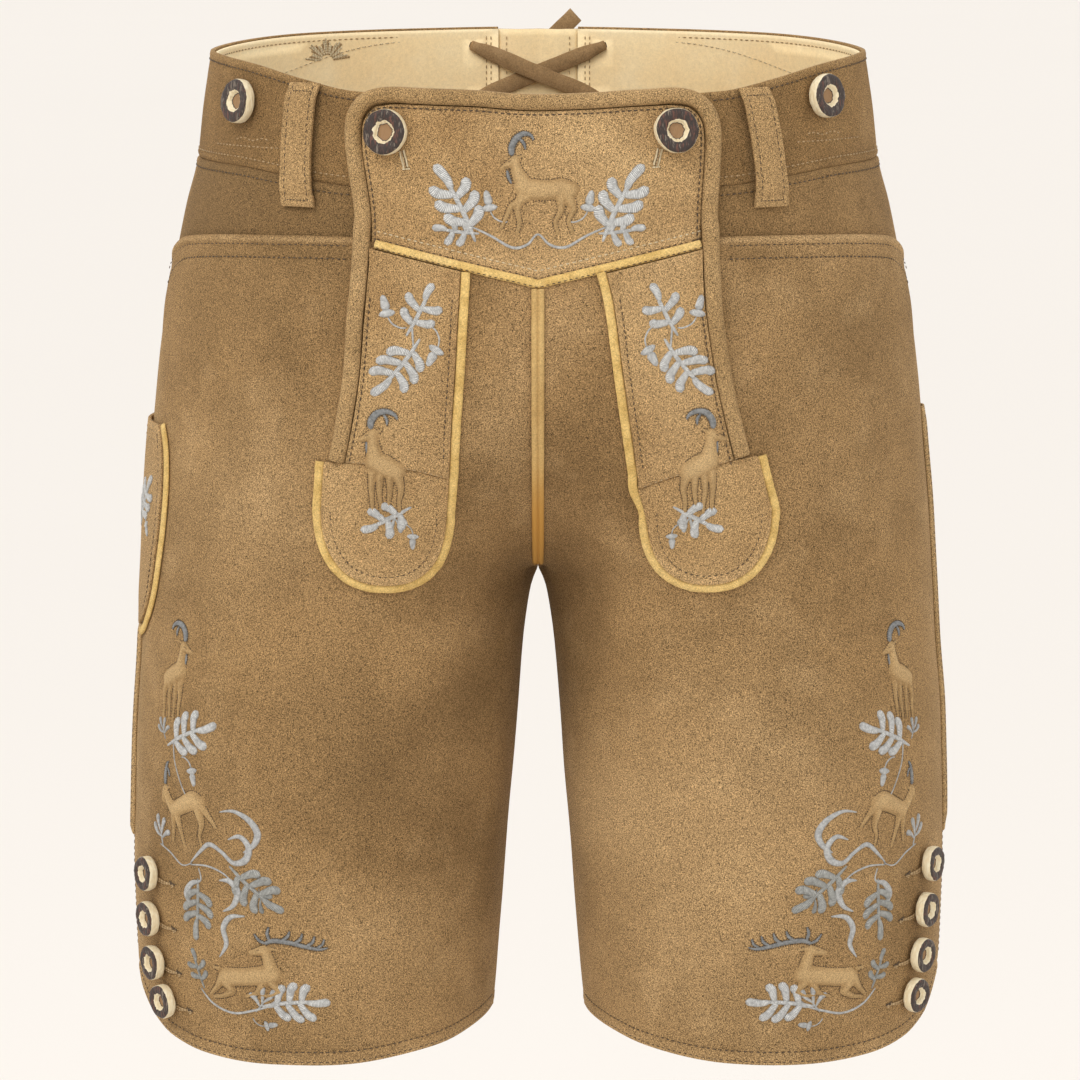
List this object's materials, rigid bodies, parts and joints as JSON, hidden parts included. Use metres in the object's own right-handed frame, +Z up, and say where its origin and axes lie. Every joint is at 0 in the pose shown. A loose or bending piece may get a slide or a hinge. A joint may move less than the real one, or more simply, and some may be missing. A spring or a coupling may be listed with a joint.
{
  "type": "lederhosen",
  "caption": "Short suede lederhosen with a drop flap, strips, yellow piping and antler buttons, hollow and filled out as worn with nobody inside.",
  "frame": {"origin": "the waist mount: on the body's axis, at mid height of the waistband's sides", "axes": "+Z up along the body, -Y towards the front, +X towards the wearer's left"},
  "size_m": [0.4114, 0.2782, 0.5085],
  "materials": {
    "leather": "olive-brown suede, worn",
    "band_leather": "brown suede of the waistband and its loops",
    "edge_leather": "paler suede of the padded edge, round ends and seam straps",
    "lining": "cream lining leather",
    "piping": "yellow chamois with raw edges",
    "lace": "flat brown leather lace",
    "antler": null
  },
  "bodies": {
    "root": {"back_gusset": "leather", "back_left": "leather", "back_right": "leather", "belt_loop_back_left": "band_leather", "belt_loop_back_right": "band_leather", "belt_loop_front_left": "band_leather", "belt_loop_front_right": "band_leather", "centre_piping": "piping", "flap_button_left": "antler", "flap_button_right": "antler", "flap_welt": "edge_leather", "flap_yoke": "leather", "front_left": "leather", "front_right": "leather", "hip_yoke_left": "leather", "hip_yoke_right": "leather", "knife_piping": "piping", "knife_pocket": "leather", "lace": "lace", "leg_button_left_1": "antler", "leg_button_left_2": "antler", "leg_button_left_3": "antler", "leg_button_left_4": "antler", "leg_button_right_1": "antler", "leg_button_right_2": "antler", "leg_button_right_3": "antler", "leg_button_right_4": "antler", "lining_left": "lining", "lining_right": "lining", "side_strap_left": "edge_leather", "side_strap_right": "edge_leather", "strip_left": "leather", "strip_piping_left": "piping", "strip_piping_right": "piping", "strip_right": "leather", "tab_left": "edge_leather", "tab_right": "edge_leather", "v_piping": "piping", "waist_button_left": "antler", "waist_button_right": "antler", "waistband_left": "band_leather", "waistband_right": "band_leather"}
  },
  "joints": []
}
